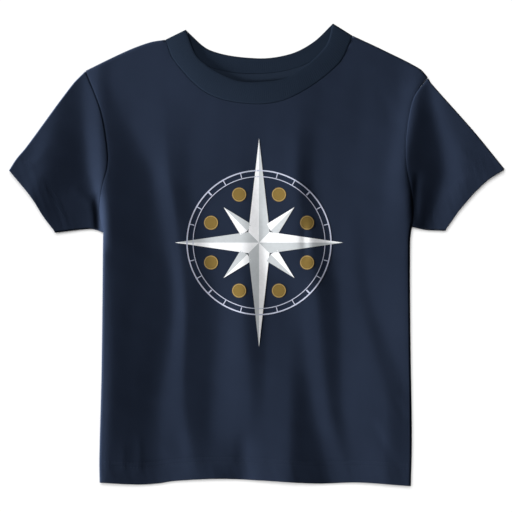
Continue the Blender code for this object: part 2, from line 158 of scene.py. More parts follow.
# Coverstitching, with the thread's radius and its middle's height over the cloth
STITCH_LENGTH = 2.6
STITCH_PITCH = 3.2
STITCH_LINE_STEPS = 400
STITCH_MARGIN = 3.5
STITCH_DIP = 0.2
STITCH_AHEAD = 0.05
THREAD_SIDES = 6
THREAD_TAPER = 0.75
THREAD_STATIONS = (-1.0, -0.8, -0.3, 0.3, 0.8, 1.0)
HEM_THREAD = 0.2
HEM_LIFT = 0.04
CUFF_THREAD = 0.14
CUFF_LIFT = -0.05

# Corners of the pieces: how far across the shirt and how far up it, from the middle of its outline box
HEM_LEFT = (-157.5, -228)
HEM_RIGHT = (154, -231.5)
UNDERARM_LEFT = (-154, 22)
UNDERARM_RIGHT = (155, 28)
SHOULDER_LEFT = (-171.5, 184)
SHOULDER_RIGHT = (171, 177.5)
NECK_LEFT = (-92, 215)
NECK_RIGHT = (96, 219)
TIP_LEFT = (-71.5, 225)
TIP_RIGHT = (76, 231.5)
CUFF_TOP_LEFT = (-248, 84.5)
CUFF_TOP_RIGHT = (248, 85.5)
CUFF_LOW_LEFT = (-201.5, 22)
CUFF_LOW_RIGHT = (188, 24)

# Outlines, each a smooth curve through its points
HEM = (
    HEM_LEFT, (-120, -230), (-99, -229), (-83, -226.5), (-41, -224.3), (7, -226),
    (61, -229), (103, -228), HEM_RIGHT,
)
SIDE_LEFT = (HEM_LEFT, (-157.8, -205), (-155.5, -115), UNDERARM_LEFT)
SIDE_RIGHT = (HEM_RIGHT, (155, -185), (153.5, -75), (153.3, 14), UNDERARM_RIGHT)
ARMHOLE_LEFT = (
    UNDERARM_LEFT, (-158, 43), (-155, 67.5), (-149.3, 89), (-149.8, 110), (-156, 144),
    SHOULDER_LEFT,
)
ARMHOLE_RIGHT = (
    UNDERARM_RIGHT, (156, 45), (153, 68), (148.8, 90), (149.2, 120), (156.5, 157),
    SHOULDER_RIGHT,
)
SHOULDER_EDGE_LEFT = (SHOULDER_LEFT, (-131, 203.5), (-107, 212.5), NECK_LEFT)
SHOULDER_EDGE_RIGHT = (SHOULDER_RIGHT, (163, 186), (127, 204.5), NECK_RIGHT)
SLEEVE_TOP_LEFT = (CUFF_TOP_LEFT, (-241, 95.5), (-231, 107.5), (-185, 170), SHOULDER_LEFT)
SLEEVE_TOP_RIGHT = (CUFF_TOP_RIGHT, (217, 123.5), (175, 171), SHOULDER_RIGHT)
SLEEVE_LOW_LEFT = (CUFF_LOW_LEFT, (-169, 25.7), (-162, 25), UNDERARM_LEFT)
SLEEVE_LOW_RIGHT = (CUFF_LOW_RIGHT, (172, 24.6), (163, 26), UNDERARM_RIGHT)
CUFF_LEFT = (CUFF_TOP_LEFT, (-225.5, 57), (-213.5, 38), CUFF_LOW_LEFT)
CUFF_RIGHT = (CUFF_TOP_RIGHT, (228.5, 72.5), (205, 47.5), CUFF_LOW_RIGHT)
NECK_SEAM_FRONT = (NECK_LEFT, (-83.5, 194), (-50, 161), (-5, 150.5), (34, 157), (81, 190), NECK_RIGHT)
NECK_TOP_FRONT = (TIP_LEFT, (-58, 196), (-21.5, 174.8), (7, 173.3), (33.5, 179), (68, 207.5), TIP_RIGHT)
NECK_SEAM_BACK = (NECK_LEFT, (-50, 189), (-7, 181.2), (43, 188.4), NECK_RIGHT)
NECK_TOP_BACK = (TIP_LEFT, (-46.5, 204.7), (0, 196.8), (33, 201), (56.5, 213), TIP_RIGHT)

# Folds from the photo's left to its right: at each level, where the line lies and how high it stands
LEVELS = (200, 165, 85, 55, 20, -50, -150, -229)
Fold = namedtuple("Fold", "name roundness across rise")
FOLDS = (
    Fold("left_tip_start", 6, (-217, -217, -229, -239, -250, -257, -257, -257),
        (1.6, 1.6, 2.9, 3.1, 3.3, 3.5, 3.3, 2.6)),
    Fold("left_cuff_crest", 7, (-197, -197, -215, -227, -238, -247, -247, -247),
        (2.4, 2.4, 3.6, 3.6, 3.6, 3.5, 3.3, 2.5)),
    Fold("left_sleeve_bend", 6, (-186, -186, -196, -199, -200, -200, -200, -200),
        (1.9, 1.9, 2.5, 2.1, 1.9, 1.8, 1.8, 1.4)),
    Fold("left_sleeve_valley", 5, (-174, -174, -169, -161, -158, -167, -167, -167),
        (1.5, 1.5, 0.6, 0.2, 0.2, 1.7, 1.5, 0.7)),
    Fold("left_armhole_crest", 4, (-158, -158, -154, -154, -155, -149, -149, -153),
        (2.6, 2.9, 3.5, 3.4, 3.5, 3.6, 3.4, 2.3)),
    Fold("left_broad_valley", 6, (-145, -145, -107, -100, -94, -83, -97, -98),
        (2.2, 2.2, 0.2, 0.2, 0.1, 0.0, 0.3, 0.1)),
    Fold("left_sharp_crest", 3, (-92, -92, -89, -84, -79, -72, -73, -59),
        (2.1, 2.1, 1.8, 1.4, 1.2, 1.3, 1.4, 1.5)),
    Fold("left_inner_valley", 7, (-72, -72, -68, -65, -53, -39, -44, -41),
        (2.0, 2.0, 1.0, 0.3, 0.1, 0.0, 0.0, 1.5)),
    Fold("middle_crest", 5, (-42, -42, -12, -11, -11, -13, -7, -14),
        (1.9, 1.9, 1.2, 1.3, 1.3, 1.5, 1.8, 0.1)),
    Fold("middle_valley", 4, (-12, -12, 1, 3, 5, 9, 6, 2),
        (1.8, 1.8, 1.0, 0.8, 0.6, 0.4, 1.5, 1.7)),
    Fold("low_crest", 5, (5, 5, 18, 24, 30, 33, 34, 32),
        (1.7, 1.7, 1.3, 1.5, 1.7, 0.4, 2.2, 2.9)),
    Fold("low_valley", 5, (23, 23, 28, 32, 37, 43, 55, 75),
        (1.6, 1.6, 1.6, 1.8, 2.0, 0.7, 0.8, 0.1)),
    Fold("right_crest", 4, (43, 43, 40, 42, 50, 61, 71, 94),
        (1.5, 1.5, 2.1, 2.2, 2.3, 1.5, 1.7, 0.6)),
    Fold("right_valley", 5, (63, 63, 55, 60, 71, 82, 85, 100),
        (1.2, 1.2, 1.0, 0.9, 0.9, 0.1, 0.9, 0.8)),
    Fold("right_shelf_crest", 5, (88, 88, 88, 91, 95, 105, 130, 130),
        (1.0, 1.0, 1.3, 1.4, 1.5, 1.0, 2.9, 2.1)),
    Fold("right_shelf_valley", 5, (108, 108, 98, 101, 106, 115, 151, 149),
        (0.9, 0.9, 1.4, 1.5, 1.6, 0.7, 2.4, 1.8)),
    Fold("right_bright_start", 6, (145, 145, 131, 129, 128, 129, 152, 151),
        (0.7, 0.9, 2.0, 2.1, 2.2, 1.3, 2.4, 1.8)),
    Fold("right_armhole_crest", 4, (161, 161, 147, 149, 151, 147, 154, 153),
        (0.5, 2.0, 3.5, 3.4, 3.1, 2.2, 2.4, 1.9)),
    Fold("right_sleeve_valley", 5, (173, 173, 187, 180, 172, 180, 180, 180),
        (0.8, 1.2, 0.3, 0.5, 0.7, 2.2, 2.4, 1.9)),
    Fold("right_cuff_crest", 7, (182, 182, 206, 202, 196, 218, 218, 218),
        (1.4, 2.2, 2.0, 1.9, 1.6, 2.9, 3.0, 2.4)),
)

# Soft ridges and troughs on top of the folds: a bowed line, the half width, and the height at its middle
Wrinkle = namedtuple("Wrinkle", "start middle end width height")
WRINKLES = (
    Wrinkle((-80, -172), (-77, -195), (-73, -222), 9.6, -0.17),
    Wrinkle((-15, -178), (-15, -196), (-17, -214), 8, -0.2),
    Wrinkle((-118, -178), (-117, -205), (-118, -222), 4, 0.1),
    Wrinkle((-135, -185), (-134, -205), (-135, -222), 4, 0.07),
    Wrinkle((112, -165), (127, -190), (140, -214), 6, -0.14),
    Wrinkle((136, -140), (143, -153), (149, -166), 4, -0.1),
    Wrinkle((52, 178), (66, 165), (84, 160), 6, -0.1),
    Wrinkle((96, 204), (120, 186), (150, 178), 8, 0.12),
    Wrinkle((118, 165), (130, 150), (134, 128), 7, -0.12),
    Wrinkle((-160, 176), (-140, 165), (-122, 166), 8, -0.12),
    Wrinkle((-165, 45), (-172, 56), (-186, 66), 6, 0.15),
    Wrinkle((-155.5, 2), (-156.5, 26), (-159.5, 62), 5.5, -1.65),
    Wrinkle((47, 40), (47.5, 16), (49, -8), 4.5, -0.25),
    Wrinkle((158, 30), (158, 52), (161, 84), 4.5, -0.3),
    Wrinkle((-238, 84), (-222, 92), (-208, 112), 6, 0.14),
    Wrinkle((228, 96), (214, 96), (200, 108), 6, 0.14),
)
WRINKLE_TAPER = 0.7
WRINKLE_SHARPNESS = 1.6

# Heights of the slight swells that cross the whole shirt
BROAD_SWELL = 0.05
FINE_SWELL = 0.03
SLANTED_SWELL = 0.02


def smoothstep(share):
    share = np.clip(share, 0.0, 1.0)
    return share * share * (3 - 2 * share)


def bell(distance, width):
    return np.exp(-0.5 * (distance / width) ** 2)


def depth_at(distance, groove):
    """How deep a groove is at a distance from its middle line."""
    return groove.depth * bell(distance, groove.width)


def curve_through(points, steps=CURVE_STEPS):
    """A smooth curve through the points, as closely spaced points."""
    known = np.array(points, float)
    ends = np.vstack([2 * known[0] - known[1], known, 2 * known[-1] - known[-2]])
    share = np.linspace(0, 1, steps, endpoint=False)[:, None]
    runs = []
    for before, start, end, after in zip(ends, ends[1:], ends[2:], ends[3:]):
        length = np.linalg.norm(end - start)
        leave = (end - before) * length / (np.linalg.norm(start - before) + length)
        arrive = (after - start) * length / (np.linalg.norm(after - end) + length)
        squared, cubed = share**2, share**3
        runs.append(
            (2 * cubed - 3 * squared + 1) * start
            + (cubed - 2 * squared + share) * leave
            + (3 * squared - 2 * cubed) * end
            + (cubed - squared) * arrive
        )
    return np.vstack([*runs, known[-1:]])


def along(curve, shares):
    """The points at these shares of a curve's length."""
    reached = np.concatenate([[0], np.cumsum(np.linalg.norm(np.diff(curve, axis=0), axis=1))])
    at = np.asarray(shares, float) * reached[-1]
    return np.stack([np.interp(at, reached, curve[:, k]) for k in range(curve.shape[1])], axis=-1)


def length_of(curve):
    return float(np.linalg.norm(np.diff(curve, axis=0), axis=1).sum())


def leftward(directions):
    """Unit vectors to the left of these directions, square to them."""
    across, up = directions.T / np.linalg.norm(directions, axis=1)
    return np.stack([-up, across], axis=1)


def shifted(curve, distance):
    """The curve moved sideways, to the left of its direction of travel."""
    return curve + distance * leftward(np.gradient(curve, axis=0))


def even(count):
    return np.linspace(0, 1, count + 1)


def fine_start(reach, count):
    """Shares of a length: close together in the rounded rim, and then evenly spaced."""
    turn = np.arange(RIM_STEPS) * math.pi / 2 / RIM_STEPS
    return np.concatenate([RIM * (1 - np.cos(turn)), np.linspace(RIM, reach, count + 1)]) / reach


def fine_ends(reach, count):
    """The same, with a rim at either end."""
    start = fine_start(reach, 1)[:-1]
    return np.concatenate([start[:-1], np.linspace(start[-1], 1 - start[-1], count + 1), 1 - start[-2::-1]])


def curves_of(*outlines):
    return [curve_through(points, EDGE_STEPS) for points in outlines]


FOLDED_EDGES = curves_of(
    SIDE_LEFT, SHOULDER_EDGE_LEFT, SLEEVE_TOP_LEFT, SLEEVE_LOW_LEFT,
    SIDE_RIGHT, SHOULDER_EDGE_RIGHT, SLEEVE_TOP_RIGHT, SLEEVE_LOW_RIGHT,
)
HEM_EDGES = curves_of(HEM, CUFF_LEFT, CUFF_RIGHT)
SEAM_LINES = curves_of(ARMHOLE_LEFT, ARMHOLE_RIGHT)
NECK_LINE = curve_through(NECK_SEAM_FRONT, LINE_STEPS)


def nearest(curve, places):
    """How far each place is from a curve, and the share of the curve's length at the nearest point."""
    starts, spans = curve[:-1], np.diff(curve, axis=0)
    far, share = [], []
    for block in np.array_split(places, max(1, len(places) // PLACES_AT_A_TIME)):
        offsets = block[:, None, :] - starts
        at = np.clip((offsets * spans).sum(-1) / (spans**2).sum(-1), 0, 1)
        distances = np.linalg.norm(offsets - at[..., None] * spans, axis=-1)
        best = distances.argmin(axis=1)
        rows = np.arange(len(block))
        far.append(distances[rows, best])
        share.append((best + at[rows, best]) / len(spans))
    return np.concatenate(far), np.concatenate(share)


def distance_to_any(curves, places):
    """How far each place, in a list or a grid, is from the nearest of the curves."""
    flat = places.reshape(-1, 2)
    return np.min([nearest(curve, flat)[0] for curve in curves], axis=0).reshape(places.shape[:-1])


def at_heights(values, up):
    curve = curve_through(list(zip(LEVELS, values)))[::-1]
    return np.interp(up, curve[:, 0], curve[:, 1])


def ramp(distance, roundness):
    return (distance + np.hypot(distance, roundness)) / 2


def folds(flat):
    """The height of the folds at each place, before the edges draw them down."""
    across, up = flat.T
    lines = [at_heights(fold.across, up) for fold in FOLDS]
    tops = [at_heights(fold.rise, up) for fold in FOLDS]
    slopes = [(tops[i + 1] - tops[i]) / (lines[i + 1] - lines[i]) for i in range(len(FOLDS) - 1)]
    slopes = [0.0, *slopes, 0.0]
    height = tops[0].copy()
    for i, fold in enumerate(FOLDS):
        height += (slopes[i + 1] - slopes[i]) * ramp(across - lines[i], fold.roundness)
    return np.clip(height, 0.0, TALLEST)


def wrinkles(flat):
    total = np.zeros(len(flat))
    for row in WRINKLES:
        curve = curve_through((row.start, row.middle, row.end), LINE_STEPS)
        distance, share = nearest(curve, flat)
        taper = np.sin(np.pi * np.clip(share, 0, 1)) ** WRINKLE_TAPER
        total += row.height * taper * bell(distance * WRINKLE_SHARPNESS, row.width)
    return total


def swells(flat):
    """Slight unevenness that any laid jersey has."""
    x, y = flat.T
    broad = np.sin(x / 13.0 + 1.3 * np.sin(y / 41.0)) * np.sin(y / 29.0 + 0.7)
    fine = np.sin(x / 6.1 + y / 17.0) * np.sin(y / 11.0 - x / 31.0)
    slanted = np.sin((x + 2.2 * y) / 9.3 + 2.0)
    return BROAD_SWELL * broad + FINE_SWELL * fine + SLANTED_SWELL * slanted


def rise(places):
    """How far the upper layer stands above its lowest height at each place, in all its detail."""
    flat = places.reshape(-1, 2)
    height = folds(flat) + wrinkles(flat) + swells(flat)
    return np.maximum(height, 0.0).reshape(places.shape[:-1])


def rounded_down(places):
    """The share of its height that the front keeps at each place, as its folded rims curve down."""
    inside = np.clip(distance_to_any(FOLDED_EDGES, places) / RIM, 0, 1)
    return np.sqrt(1 - (1 - inside) ** 2)


def trim(places):
    """The small marks of sewing on the upper face: stitch grooves, puckers, armhole seams and neck tucks."""
    flat = places.reshape(-1, 2)
    marks = np.zeros(len(flat))
    hems = [nearest(curve, flat)[0] for curve in HEM_EDGES]
    for edge, groove in zip(hems, (HEM_GROOVE, CUFF_GROOVE, CUFF_GROOVE)):
        for line in STITCH_LINES:
            marks -= depth_at(edge - line, groove)
    run = flat @ np.array(PUCKER_RUN)
    ripple = sum(row.size * np.sin(run * 2 * math.pi / row.pitch + row.start) for row in PUCKERS)
    marks += PUCKER_HEIGHT * ripple * smoothstep((PUCKER_REACH - np.min(hems, axis=0)) / PUCKER_FADE)
    marks -= depth_at(distance_to_any(SEAM_LINES, flat), ARMHOLE_GROOVE)
    neck, share = nearest(NECK_LINE, flat)
    marks -= (0.5 + 0.5 * np.sin(share * 2 * math.pi * NECK_TUCKS)) * depth_at(neck, NECK_TUCK)
    return marks.reshape(places.shape[:-1])


def hem_step(places):
    """The extra height of the turned hem, which ends just past its stitching."""
    hem = distance_to_any(HEM_EDGES, places)
    return HEM_EXTRA * smoothstep((HEM_EDGE - hem) / HEM_FADE)


def with_heights(places, heights):
    heights = np.broadcast_to(heights, places.shape[:-1])
    return np.concatenate([places, heights[..., None]], axis=-1)


def hem_shares(reach, rows):
    """Where a side's rows lie along it: close together at the hem, and then evenly spaced."""
    fine = np.arange(HEM_ROWS) * HEM_PITCH
    return np.concatenate([fine, np.linspace(HEM_ZONE, reach, rows + 1)]) / reach


def hemmed_patch(hem, top, left, right, columns):
    """A grid of places [row, column] between four edges, whose first rows run along the hem."""
    u = columns[:, None]
    sides = (1 - u) * left[:, None] + u * right[:, None]
    rows = hem + sides[: HEM_ROWS + 1] - sides[0]
    bottom = rows[-1]
    steps = np.linalg.norm(np.diff(left[HEM_ROWS:], axis=0), axis=1)
    v = (np.concatenate([[0], np.cumsum(steps)]) / steps.sum())[:, None, None]
    bottom_line = (1 - u) * bottom[0] + u * bottom[-1]
    top_line = (1 - u) * top[0] + u * top[-1]
    bowed = (1 - v) * (bottom - bottom_line) + v * (top - top_line)
    return np.concatenate([rows[:-1], sides[HEM_ROWS:] + bowed])


def body_places(neck_seam, grid):
    """The grid of places of a body panel."""
    sides = []
    for side, armhole, shift in (
        (SIDE_LEFT, ARMHOLE_LEFT, -SEAM_GAP / 2),
        (SIDE_RIGHT, ARMHOLE_RIGHT, SEAM_GAP / 2),
    ):
        curve = curve_through(side)
        lower = along(curve, hem_shares(length_of(curve), grid.side_rows))
        upper = shifted(curve_through(armhole), shift)
        upper = along(upper, 1 - fine_start(length_of(upper), ARMHOLE_ROWS)[::-1])
        sides.append(np.vstack([lower[:-1], upper]))
    left, right = sides
    shoulders = []
    for points in (SHOULDER_EDGE_LEFT, SHOULDER_EDGE_RIGHT):
        curve = curve_through(points)
        shoulders.append(along(curve, fine_start(length_of(curve), grid.shoulder_columns)))
    left_shoulder, right_shoulder = shoulders[0], shoulders[1][::-1]
    neck = along(curve_through(neck_seam), even(grid.neck_columns))
    top = np.vstack([left_shoulder[:-1], neck, right_shoulder[1:]])
    top[0], top[-1] = left[-1], right[-1]
    hem = curve_through(HEM)
    columns = fine_ends(length_of(hem), len(top) - 1 - 2 * RIM_STEPS)
    return hemmed_patch(along(hem, columns), top, left, right, columns)


def show(name, data):
    """An object that holds this data, linked to the scene."""
    holder = bpy.data.objects.new(name, data)
    bpy.context.scene.collection.objects.link(holder)
    return holder


def add_piece(name, mesh, material):
    """A smooth piece that rides on the shirt's one body."""
    mesh.shade_smooth()
    mesh.materials.append(material)
    piece = show(name, mesh)
    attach(piece, "root")
    return piece


def make_piece(name, points, faces, material, slot_name, round_off=WALL_ROUNDING):
    """A closed mesh piece, with its sharp rims rounded."""
    mesh = bpy.data.meshes.new(name)
    mesh.from_pydata((points * MM).tolist(), [], faces.tolist())
    bm = bmesh.new()
    bm.from_mesh(mesh)
    bmesh.ops.remove_doubles(bm, verts=bm.verts, dist=MERGE_DISTANCE)
    bmesh.ops.recalc_face_normals(bm, faces=bm.faces)
    bm.to_mesh(mesh)
    bm.free()
    piece = add_piece(name, mesh, material)
    if round_off:
        bevel = piece.modifiers.new("rounded_rims", "BEVEL")
        bevel.width = round_off * MM
        bevel.segments = 2
        bevel.limit_method = "ANGLE"
        bevel.angle_limit = math.radians(SHARP_DEGREES)
    return piece


def grid_faces(rows, columns, offset=0):
    """Quads of a grid of points stored row by row."""
    index = np.arange(rows * columns).reshape(rows, columns) + offset
    corners = [index[:-1, :-1], index[:-1, 1:], index[1:, 1:], index[1:, :-1]]
    return np.stack([c.ravel() for c in corners], axis=1)


def sheet_wall(top, under):
    """Points and faces of a closed wall, from the grids of its upper and lower faces."""
    rows, columns = top.shape[:2]
    points = np.concatenate([top.reshape(-1, 3), under.reshape(-1, 3)])
    count = rows * columns
    index = np.arange(count).reshape(rows, columns)
    rim = np.concatenate([index[0], index[1:, -1], index[-1, -2::-1], index[-2:0:-1, 0]])
    after = np.roll(rim, -1)
    side = np.stack([rim, rim + count, after + count, after], axis=1)
    faces = np.concatenate([grid_faces(rows, columns), grid_faces(rows, columns, count)[:, ::-1], side])
    return points, faces


def ring_wall(outer, inner):
    """Points and faces of a flattened tube's wall, from its rings outside and inside."""
    rings = np.concatenate([outer, inner[::-1], outer[:1]])
    rings = np.concatenate([rings, rings[:, :1]], axis=1)
    return rings.reshape(-1, 3), grid_faces(*rings.shape[:2])


def draw_in(layer, outward, distance):
    """Moves a layer's outermost columns inwards, and the third of them nearest each by less and less."""
    reach = layer.shape[1] // 3
    for edge, inner, out in ((0, reach, outward[0]), (-1, -1 - reach, outward[1])):
        towards = layer[:, inner] - layer[:, edge]
        depth = -(towards * out).sum(1)
        move = towards * (distance / depth)[:, None]
        for k in range(reach):
            column = k if edge == 0 else -1 - k
            layer[:, column] += move * (1 - k / reach)


def outward_of(curve, centre):
    """The direction away from the centre, square to each point of a curve."""
    normal = leftward(np.gradient(curve, axis=0))
    return normal * np.sign((normal * (curve - centre)).sum(1))[:, None]


def fold_outward(seam_end, tip):
    """The direction in which the neckband's fold bulges, square to its line from the seam to the tip."""
    normal = leftward(np.subtract([tip], [seam_end]))[0]
    return normal * np.sign(normal[1])


FOLD_OUT_LEFT = fold_outward(NECK_LEFT, TIP_LEFT)
FOLD_OUT_RIGHT = fold_outward(NECK_RIGHT, TIP_RIGHT)


def half_turn(starts, ends, outward, radius, top, low):
    """Points round a folded edge from its upper face to its lower one, each given as [row, step]."""
    turn = []
    for angle in np.linspace(0, math.pi, FOLD_STEPS + 1)[1:-1]:
        share = angle / math.pi
        places = (1 - share) * starts + share * ends + outward * radius * math.sin(angle)
        turn.append(with_heights(places, (top + low + (top - low) * math.cos(angle)) / 2))
    return np.stack(turn, axis=1)


def front_top(places):
    """The height of the upper face, which the sleeves carry on at the same level."""
    return FRONT_BASE + JERSEY + rise(places) + trim(places) + hem_step(places)


def build_front(material):
    places = body_places(NECK_SEAM_FRONT, FRONT_GRID)
    height = rise(places)
    kept = rounded_down(places)
    top = with_heights(places, FRONT_BASE + JERSEY + (height + trim(places) + hem_step(places)) * kept)
    under = with_heights(places, FRONT_BASE + height * kept)
    piece = make_piece("front", *sheet_wall(top, under), material, "jersey")
    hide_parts("front_panel")
    return piece


def build_back(material):
    places = body_places(NECK_SEAM_BACK, BACK_GRID)
    hem = distance_to_any(HEM_EDGES[:1], places)
    grooves = sum(depth_at(hem - line, BACK_GROOVE) for line in STITCH_LINES)
    top = with_heights(places, JERSEY - grooves)
    under = with_heights(places, 0.0)
    piece = make_piece("back", *sheet_wall(top, under), material, "jersey")
    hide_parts("back_panel")
    return piece


def sleeve_rings(layer, upper, outward, inset):
    """Rings round a sleeve, from cuff to armhole; inset is 0 outside, and its wall inside."""
    radius = SLEEVE_FOLD_RADIUS - inset
    tops = FRONT_BASE + JERSEY - inset + upper
    lower = with_heights(layer, inset)[:, ::-1]
    low_fold = half_turn(layer[:, -1], layer[:, -1], outward[1], radius, tops[:, -1], inset)
    top_fold = half_turn(layer[:, 0], layer[:, 0], outward[0], radius, tops[:, 0], inset)[:, ::-1]
    return np.concatenate([with_heights(layer, tops), low_fold, lower, top_fold], axis=1)


# Outlines, the shift that opens the armhole's gap, the dip beside it, and the turn of the knit
Sleeve = namedtuple("Sleeve", "side armhole top low cuff shift seam_drop knit_degrees")
SLEEVES = (
    Sleeve("left", ARMHOLE_LEFT, SLEEVE_TOP_LEFT, SLEEVE_LOW_LEFT, CUFF_LEFT, SEAM_GAP / 2, 0.0, 38),
    Sleeve("right", ARMHOLE_RIGHT, SLEEVE_TOP_RIGHT, SLEEVE_LOW_RIGHT, CUFF_RIGHT, -SEAM_GAP / 2, 0.05, -38),
)


def build_sleeve(sleeve, material):
    seam = shifted(curve_through(sleeve.armhole), sleeve.shift)
    columns = fine_start(length_of(seam), ARMHOLE_ROWS)
    armhole = along(seam, 1 - columns)
    cuff = along(curve_through(sleeve.cuff), columns)
    edges = []
    for points in (sleeve.top, sleeve.low):
        curve = curve_through(points)
        reach = length_of(curve)
        fine = np.linspace(0, min(HEM_ZONE, SLEEVE_HEM_SHARE * reach), HEM_ROWS + 1)
        rest = np.linspace(fine[-1], reach - CORNER_GAP, SLEEVE_ROWS + 1)[1:]
        edges.append(along(curve, np.concatenate([fine, rest]) / reach))
    top_edge, low_edge = edges
    armhole[0], armhole[-1] = top_edge[-1], low_edge[-1]
    layer = hemmed_patch(cuff, armhole, top_edge, low_edge, columns)
    centre = layer.reshape(-1, 2).mean(axis=0)
    outward = outward_of(top_edge, centre), outward_of(low_edge, centre)
    draw_in(layer, outward, SLEEVE_FOLD_RADIUS)
    height = rise(layer)
    dip = sleeve.seam_drop * bell(distance_to_any(SEAM_LINES, layer), SEAM_DROP_WIDTH)
    marks = trim(layer) + hem_step(layer) - dip
    outer = sleeve_rings(layer, height + marks, outward, 0.0)
    inner = sleeve_rings(layer, height, outward, JERSEY)
    piece = make_piece("sleeve_" + sleeve.side, *ring_wall(outer, inner), material, "jersey")
    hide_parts(sleeve.side + "_sleeve")
    return piece


def neck_edge(points, gap, stations):
    """Evenly spaced places along an edge of the neckband, between the folds at its two ends."""
    curve = curve_through(points)
    share = np.linspace(0, 1, len(curve))[:, None]
    opened = smoothstep(np.minimum(share, 1 - share) / NECK_GAP_SPREAD)
    curve = shifted(curve, gap * (NECK_GAP_AT_ENDS + (1 - NECK_GAP_AT_ENDS) * opened))
    first, last = curve[1] - curve[0], curve[-1] - curve[-2]
    start = BAND_FOLD_RADIUS * np.linalg.norm(first) / abs(first @ FOLD_OUT_LEFT)
    end = BAND_FOLD_RADIUS * np.linalg.norm(last) / abs(last @ FOLD_OUT_RIGHT)
    reach = length_of(curve)
    return along(curve, np.linspace(start / reach, 1 - end / reach, stations + 1))


def half_band(seam, top, gap, across):
    """The places of the neckband's front or back half, and how far its stations are from the folds."""
    both_lengths = length_of(curve_through(seam)) + length_of(curve_through(top))
    stations = RIB_STEPS * round(both_lengths / 2 / RIB_PITCH)
    lower, upper = neck_edge(seam, gap, stations), neck_edge(top, 0.0, stations)
    reach = (length_of(lower) + length_of(upper)) / 2
    from_end = np.minimum(even(stations), 1 - even(stations)) * reach
    return (1 - across) * lower + across * upper, from_end


def ribs(from_end):
    phase = np.arange(len(from_end)) / RIB_STEPS
    return RIB_DEPTH * (0.5 - 0.5 * np.cos(2 * math.pi * phase)) * smoothstep(from_end / RIB_PITCH / 2)


def neckband_rings(inset):
    """Rings round the neckband, from the seam to the free edge; inset is 0 outside, and its wall inside."""
    share = np.concatenate([even(BAND_ROWS) * BEFORE_ROLL, ROLL_ROWS])[:, None]
    front, front_from_end = half_band(NECK_SEAM_FRONT, NECK_TOP_FRONT, NECK_GAP_FRONT, share[..., None])
    back, back_from_end = half_band(NECK_SEAM_BACK, NECK_TOP_BACK, NECK_GAP_BACK, share[..., None])
    stations = front.shape[1]
    seam_shift = np.linspace(SEAM_DROP_LEFT, SEAM_RISE_RIGHT, stations)
    seam_top = FRONT_BASE + JERSEY + rise(front[:1]) + seam_shift
    edge_top = np.linspace(BAND_EDGE_LEFT, BAND_EDGE_RIGHT, stations)
    upper = (1 - share) * seam_top + share * edge_top + BAND_BULGE * np.sin(math.pi * share) - inset
    lower = np.full(upper.shape[:1] + back_from_end.shape, inset, float)
    edge_roll = ROLL_DEPTH * np.clip((share - ROLL_START) / (1 - ROLL_START), 0, 1) ** 2
    if inset:
        upper += edge_roll
        lower += ribs(back_from_end) - edge_roll
    else:
        upper += ribs(front_from_end) - edge_roll
        lower += edge_roll / 2
    radius = BAND_FOLD_RADIUS - inset
    right_fold = half_turn(front[:, -1], back[:, -1], FOLD_OUT_RIGHT, radius, upper[:, -1], lower[:, -1])
    left_fold = half_turn(front[:, 0], back[:, 0], FOLD_OUT_LEFT, radius, upper[:, 0], lower[:, 0])[:, ::-1]
    parts = [with_heights(front, upper), right_fold, with_heights(back, lower)[:, ::-1], left_fold]
    return np.concatenate(parts, axis=1)


def build_neckband(material):
    wall = ring_wall(neckband_rings(0.0), neckband_rings(RIB_WALL))
    piece = make_piece("neck_rib", *wall, material, "rib", BAND_ROUNDING)
    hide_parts("neckband")
    return piece


def build_tape(material):
    seam = curve_through(NECK_SEAM_BACK)
    stations = np.linspace(TAPE_REACH, 1 - TAPE_REACH, TAPE_COLUMNS + 1)
    share = even(TAPE_ROWS)[:, None]
    low = along(shifted(seam, -SEAM_GAP - TAPE_WIDTH), stations)
    high = along(shifted(seam, -SEAM_GAP), stations)
    places = (1 - share[..., None]) * low + share[..., None] * high
    base = JERSEY + LAYER_GAP
    crown = TAPE_CROWN * (np.sin(math.pi * share) ** TAPE_CROWN_POWER - 1)
    grooves = sum(depth_at(share - line, TAPE_GROOVE) for line in TAPE_STITCHES)
    tucks = TAPE_TUCK * np.sin(np.arange(TAPE_COLUMNS + 1) * TAPE_TUCK_TURN)
    top = with_heights(places, base + TAPE_WALL + crown - grooves + tucks)
    wall = sheet_wall(top, with_heights(places, base))
    piece = make_piece("neck_binding", *wall, material, "tape", TAPE_ROUNDING)
    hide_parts("neck_tape")
    return piece


def stitch_row(curve, radius, raised, stitches):
    """Adds small rounded stitches along a curve, lying on the upper face."""
    count = int(length_of(curve) / STITCH_PITCH)
    middles = np.arange(count) + 0.5
    centres = along(curve, middles / count)
    direction = along(curve, (middles + STITCH_AHEAD) / count) - centres
    direction /= np.linalg.norm(direction, axis=1)[:, None]
    heights = front_top(centres)
    for centre, forward, sideways, height in zip(centres, direction, leftward(direction), heights):
        rings = []
        for station in THREAD_STATIONS:
            girth = radius * (1 - THREAD_TAPER * station**4)
            lift = raised - STITCH_DIP * station**4
            middle = centre + forward * station * STITCH_LENGTH / 2
            ring = []
            for angle in np.arange(THREAD_SIDES) * 2 * math.pi / THREAD_SIDES:
                flat = middle + sideways * girth * math.cos(angle)
                ring.append((*flat, height + lift + girth * math.sin(angle)))
            rings.append(ring)
        stitches.append(np.array(rings))


def joined_stitches(stitches):
    """The points and faces of many stitches, each an open tube whose ends dip into the cloth."""
    rows, sides = len(THREAD_STATIONS), THREAD_SIDES
    first = np.arange(rows - 1) * sides
    closing = np.stack([first + sides - 1, first, first + sides, first + 2 * sides - 1], axis=1)
    tube = np.concatenate([grid_faces(rows, sides), closing])
    points = np.concatenate([rings.reshape(-1, 3) for rings in stitches])
    faces = np.concatenate([tube + rows * sides * k for k in range(len(stitches))])
    return points, faces


